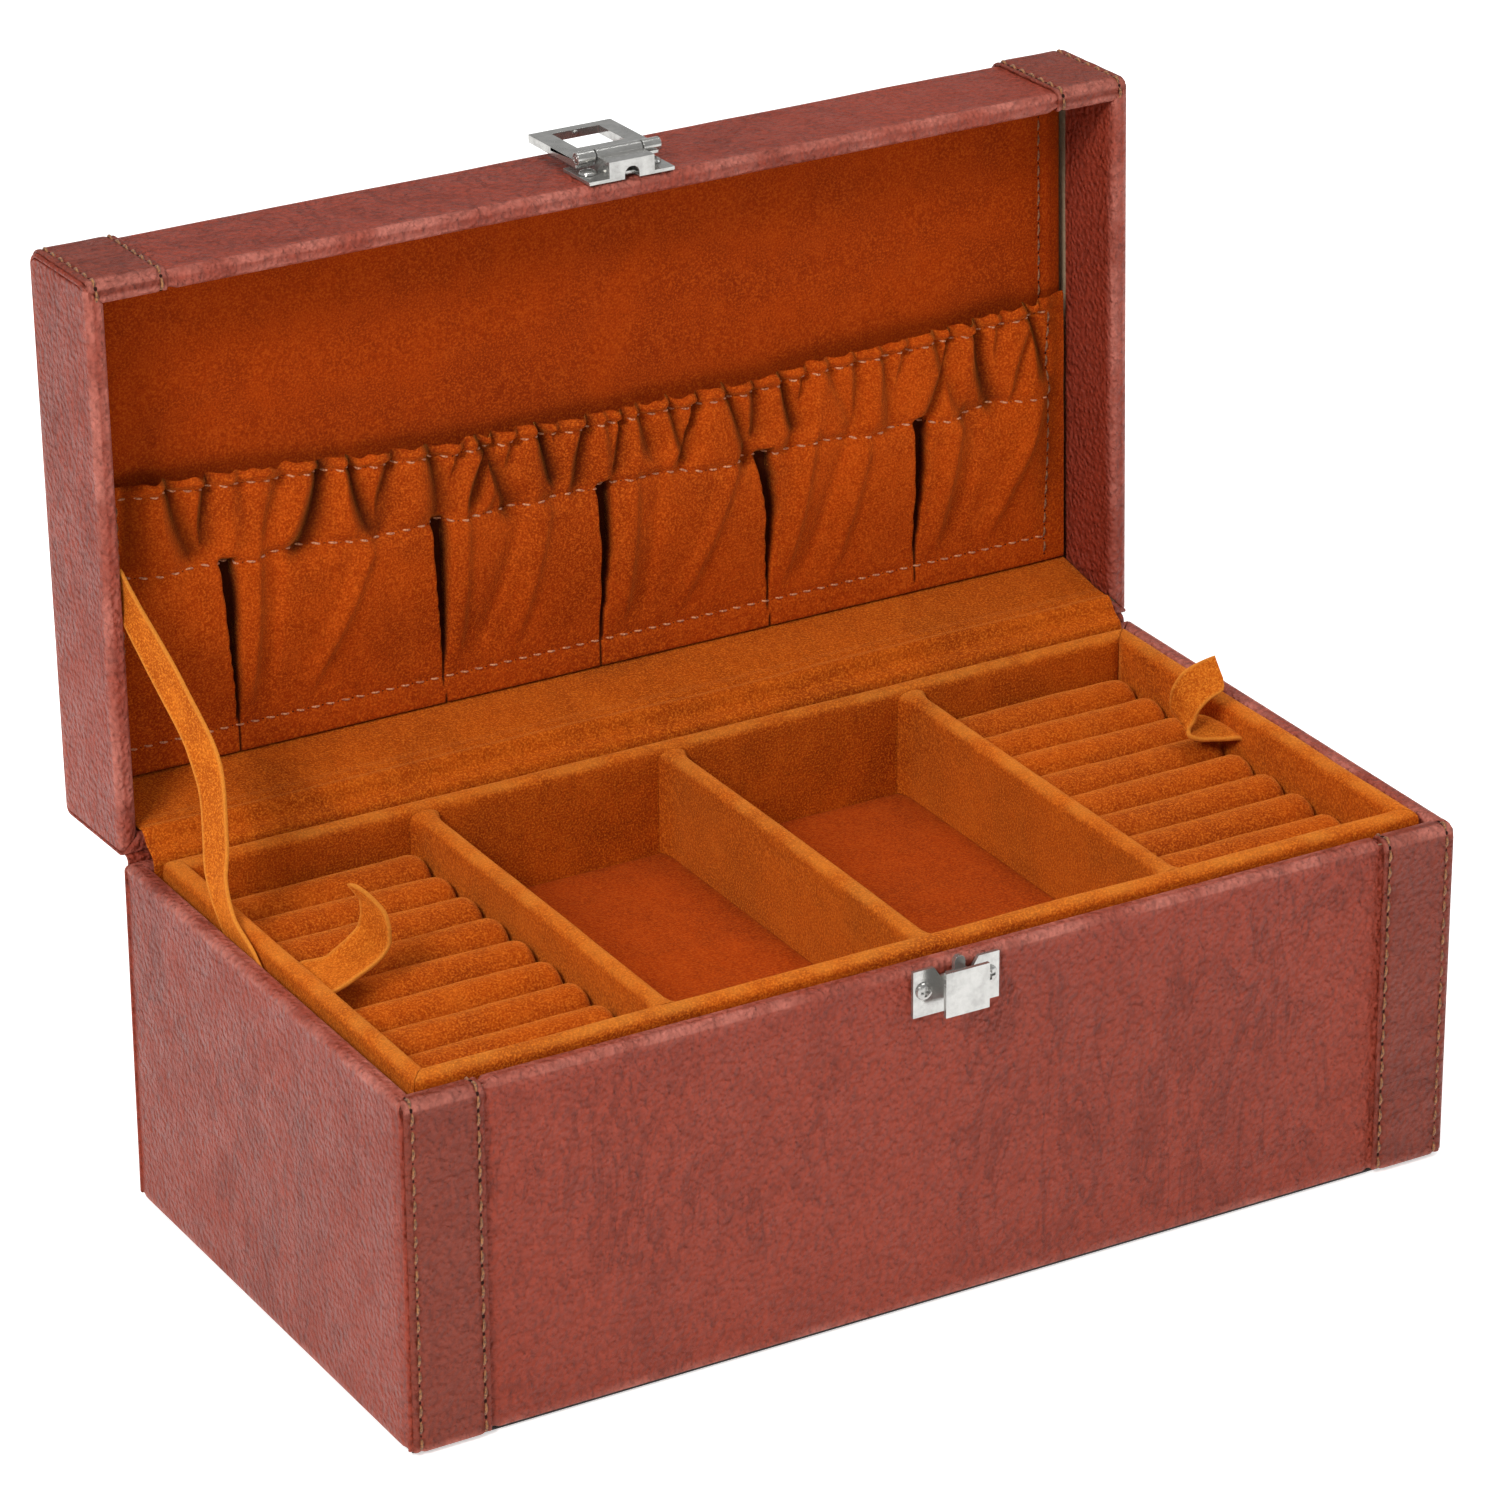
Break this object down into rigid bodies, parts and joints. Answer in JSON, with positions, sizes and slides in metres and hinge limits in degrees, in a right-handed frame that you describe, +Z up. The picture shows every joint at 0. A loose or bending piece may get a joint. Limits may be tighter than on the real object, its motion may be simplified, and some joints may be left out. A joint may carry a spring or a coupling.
{
  "type": "jewellery case",
  "caption": "Open leather-covered jewellery case: velvet lift-out tray with compartments and ring rolls, gathered lid pocket, stay ribbon and a metal loop clasp.",
  "frame": {"origin": "centre of the felt underside, the face that the case rests on", "axes": "+X to the right along the longest side, -Y to the front where the clasp is, +Z up"},
  "size_m": [0.3, 0.1964, 0.2532],
  "materials": {
    "leather": "fine pebbled grain, semi-gloss, oxblood red-brown",
    "leather_band": "creased grain, semi-gloss, stitched edges",
    "velvet": "short-pile rust-orange velvet",
    "velvet_roll": "short-pile rust-orange velvet over foam",
    "felt": "black felt",
    "elastic": "woven elastic",
    "board": "grey board, matt",
    "chrome": "polished nickel plate with fine scratches",
    "thread": "twisted sewing thread"
  },
  "bodies": {
    "base": {"base_felt": "felt", "base_carcass": "board", "base_bottom_board": "board", "base_liner": "velvet", "base_leather_front": "leather", "base_leather_back": "leather", "base_leather_left": "leather", "base_leather_right": "leather", "base_band_left": "leather_band", "base_band_right": "leather_band", "keeper_plate": "chrome", "keeper_screw_left": "chrome", "keeper_screw_right": "chrome", "hinge_strip": "velvet", "spine_leather": "leather", "stay_ribbon": "velvet"},
    "tray": {"tray_floor": "velvet", "tray_wall_front": "velvet", "tray_wall_back": "velvet", "tray_wall_left": "velvet", "tray_wall_right": "velvet", "tray_divider_left": "velvet", "tray_divider_centre": "velvet", "tray_divider_right": "velvet", "ring_roll_left_1": "velvet_roll", "ring_roll_left_2": "velvet_roll", "ring_roll_left_3": "velvet_roll", "ring_roll_left_4": "velvet_roll", "ring_roll_left_5": "velvet_roll", "ring_roll_left_6": "velvet_roll", "ring_roll_left_7": "velvet_roll", "ring_roll_left_8": "velvet_roll", "ring_roll_left_9": "velvet_roll", "ring_roll_right_1": "velvet_roll", "ring_roll_right_2": "velvet_roll", "ring_roll_right_3": "velvet_roll", "ring_roll_right_4": "velvet_roll", "ring_roll_right_5": "velvet_roll", "ring_roll_right_6": "velvet_roll", "ring_roll_right_7": "velvet_roll", "ring_roll_right_8": "velvet_roll", "ring_roll_right_9": "velvet_roll", "pull_tab_left": "velvet", "pull_tab_right": "velvet"},
    "lid": {"lid_carcass": "board", "lid_top_board": "board", "lid_leather_cover": "leather", "lid_leather_left": "leather", "lid_leather_right": "leather", "lid_band_left": "leather_band", "lid_band_right": "leather_band", "lid_panel": "velvet", "lid_pocket": "velvet", "pocket_elastic": "elastic", "clasp_bracket": "chrome", "clasp_pin": "chrome", "clasp_screw_left": "chrome", "clasp_screw_right": "chrome"},
    "clasp_loop": {"clasp_loop": "chrome"}
  },
  "joints": [
    {"name": "lid_hinge", "type": "hinge", "parent": "base", "child": "lid", "pos_m": [0, 0.076, 0.0953], "axis": [1, 0, 0], "range_deg": [0, 91.7], "deforming": ["hinge_strip", "spine_leather", "stay_ribbon", "pull_tab_left", "pull_tab_right"]},
    {"name": "tray_lift", "type": "slide", "parent": "base", "child": "tray", "axis": [0, 0, 1], "range_m": [0, 0.011]},
    {"name": "clasp_swing", "type": "hinge", "parent": "lid", "child": "clasp_loop", "pos_m": [0.0012, 0.08894, 0.25149], "axis": [1, 0, 0], "range_deg": [0, 180]}
  ]
}
